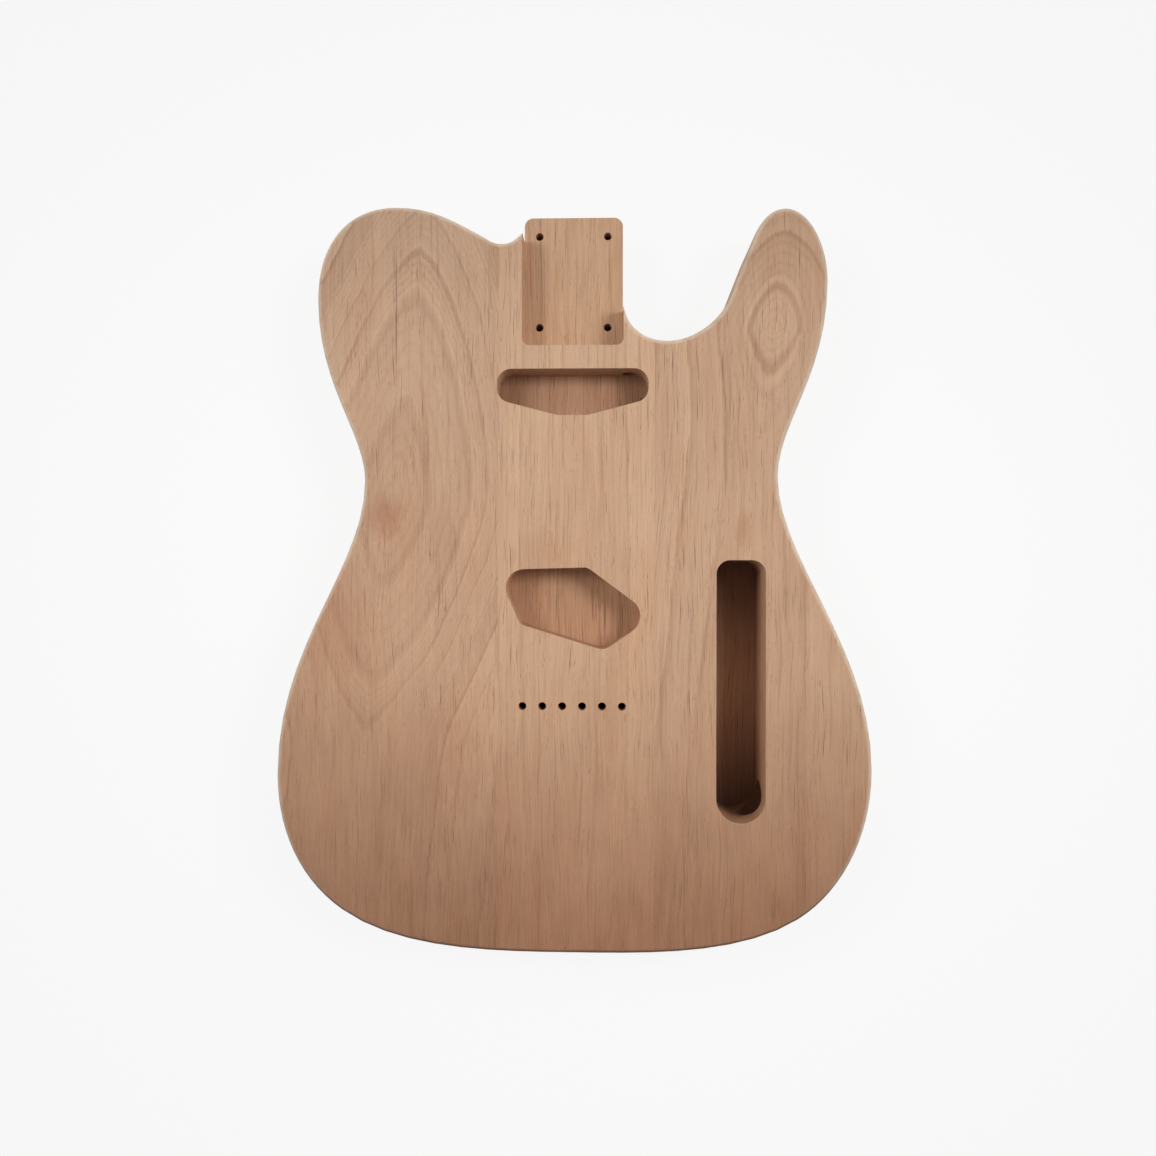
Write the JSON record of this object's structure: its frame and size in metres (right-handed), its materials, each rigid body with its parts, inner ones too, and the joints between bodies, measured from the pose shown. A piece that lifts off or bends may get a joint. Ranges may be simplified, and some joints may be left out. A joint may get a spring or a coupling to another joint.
{
  "type": "electric guitar body",
  "caption": "Bare wooden single-cutaway electric guitar body with rounded edges, routed for a bolt-on neck, pickups, controls and a side output jack.",
  "frame": {"origin": "on the back face, under the middle of the body's outer box, on the centre line of the neck pocket and string holes", "axes": "+Z out of the front face, +Y up the neck, +X to the treble side, which has the cutaway and the controls"},
  "size_m": [0.3238, 0.4064, 0.0444],
  "materials": {
    "bass_side_alder": "bare sanded alder, flat sawn, pinkish tan with cathedral figure",
    "center_alder": "bare sanded alder, straight fine grain, pinkish tan",
    "treble_side_alder": "bare sanded alder, straight grain with an oval figure in the horn"
  },
  "bodies": {
    "root": {"bass_side_board": "bass_side_alder", "center_board": "center_alder", "treble_side_board": "treble_side_alder"}
  },
  "joints": []
}
